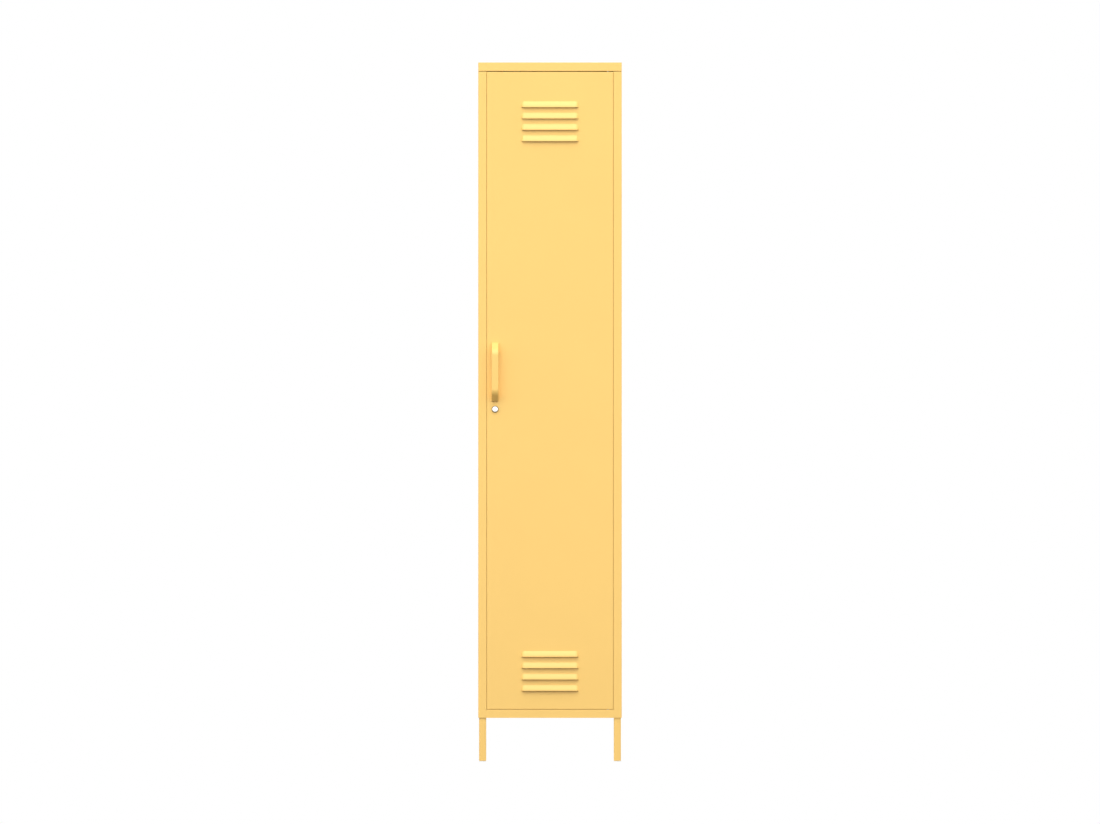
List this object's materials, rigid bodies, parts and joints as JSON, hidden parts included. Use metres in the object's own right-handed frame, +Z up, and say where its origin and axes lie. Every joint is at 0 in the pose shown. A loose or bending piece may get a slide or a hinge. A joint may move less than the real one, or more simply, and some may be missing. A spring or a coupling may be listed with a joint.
{
  "type": "steel storage locker",
  "caption": "Tall narrow sheet-steel storage locker on square legs, with a louvred, lockable hinged door, a bow handle and adjustable shelves.",
  "frame": {"origin": "on the floor, under the middle of the overall box, handle included", "axes": "+X to the right seen from the front, +Y to the back, +Z up; the door faces -Y"},
  "size_m": [0.38, 0.4302, 1.85],
  "materials": {
    "yellow_powder_coat": "semi-matt powder coat",
    "chrome_plate": "polished",
    "zinc_plated_steel": "bright zinc plate",
    "white_nylon": "moulded",
    "black_rubber": "matt",
    "grey_plastic": "moulded",
    "ferrite": "as sintered"
  },
  "bodies": {
    "cabinet": {"left_side_panel": "yellow_powder_coat", "right_side_panel": "yellow_powder_coat", "back_panel": "yellow_powder_coat", "top_lid": "yellow_powder_coat", "floor_pan": "yellow_powder_coat", "leg_front_left": "yellow_powder_coat", "leg_front_right": "yellow_powder_coat", "leg_rear_left": "yellow_powder_coat", "leg_rear_right": "yellow_powder_coat", "glide_front_left": "white_nylon", "glide_front_right": "white_nylon", "glide_rear_left": "white_nylon", "glide_rear_right": "white_nylon", "leg_bolt_front_left": "zinc_plated_steel", "leg_bolt_front_right": "zinc_plated_steel", "leg_bolt_rear_left": "zinc_plated_steel", "leg_bolt_rear_right": "zinc_plated_steel", "back_screw_upper_left": "zinc_plated_steel", "back_screw_upper_right": "zinc_plated_steel", "back_screw_lower_left": "zinc_plated_steel", "back_screw_lower_right": "zinc_plated_steel", "shelf_strip_front_left": "yellow_powder_coat", "shelf_strip_front_right": "yellow_powder_coat", "shelf_strip_rear_left": "yellow_powder_coat", "shelf_strip_rear_right": "yellow_powder_coat", "shelf_1": "yellow_powder_coat", "shelf_1_clip_front_left": "zinc_plated_steel", "shelf_1_clip_front_right": "zinc_plated_steel", "shelf_1_clip_rear_left": "zinc_plated_steel", "shelf_1_clip_rear_right": "zinc_plated_steel", "shelf_2": "yellow_powder_coat", "shelf_2_clip_front_left": "zinc_plated_steel", "shelf_2_clip_front_right": "zinc_plated_steel", "shelf_2_clip_rear_left": "zinc_plated_steel", "shelf_2_clip_rear_right": "zinc_plated_steel", "shelf_3": "yellow_powder_coat", "shelf_3_clip_front_left": "zinc_plated_steel", "shelf_3_clip_front_right": "zinc_plated_steel", "shelf_3_clip_rear_left": "zinc_plated_steel", "shelf_3_clip_rear_right": "zinc_plated_steel", "door_bumper_upper": "black_rubber", "door_bumper_lower": "black_rubber", "magnetic_catch": "grey_plastic", "catch_magnet": "ferrite", "upper_pivot_bush": "white_nylon", "lower_pivot_bush": "white_nylon"},
    "door": {"door_panel": "yellow_powder_coat", "door_stiffener": "yellow_powder_coat", "door_handle": "yellow_powder_coat", "handle_screw_lower": "zinc_plated_steel", "handle_screw_upper": "zinc_plated_steel", "lock_housing": "chrome_plate", "lock_nut": "zinc_plated_steel", "upper_pivot_pin": "zinc_plated_steel", "lower_pivot_pin": "zinc_plated_steel"},
    "lock_barrel": {"lock_plug": "chrome_plate", "lock_cam": "zinc_plated_steel", "lock_cam_screw": "zinc_plated_steel"}
  },
  "joints": [
    {"name": "door_swing", "type": "hinge", "parent": "cabinet", "child": "door", "pos_m": [0.1533, -0.17985, 0.1384], "axis": [0, 0, 1], "range_deg": [0, 110]},
    {"name": "lock_turn", "type": "hinge", "parent": "door", "child": "lock_barrel", "pos_m": [-0.1453, -0.18485, 0.932], "axis": [0, 1, 0], "range_deg": [0, 90]}
  ]
}
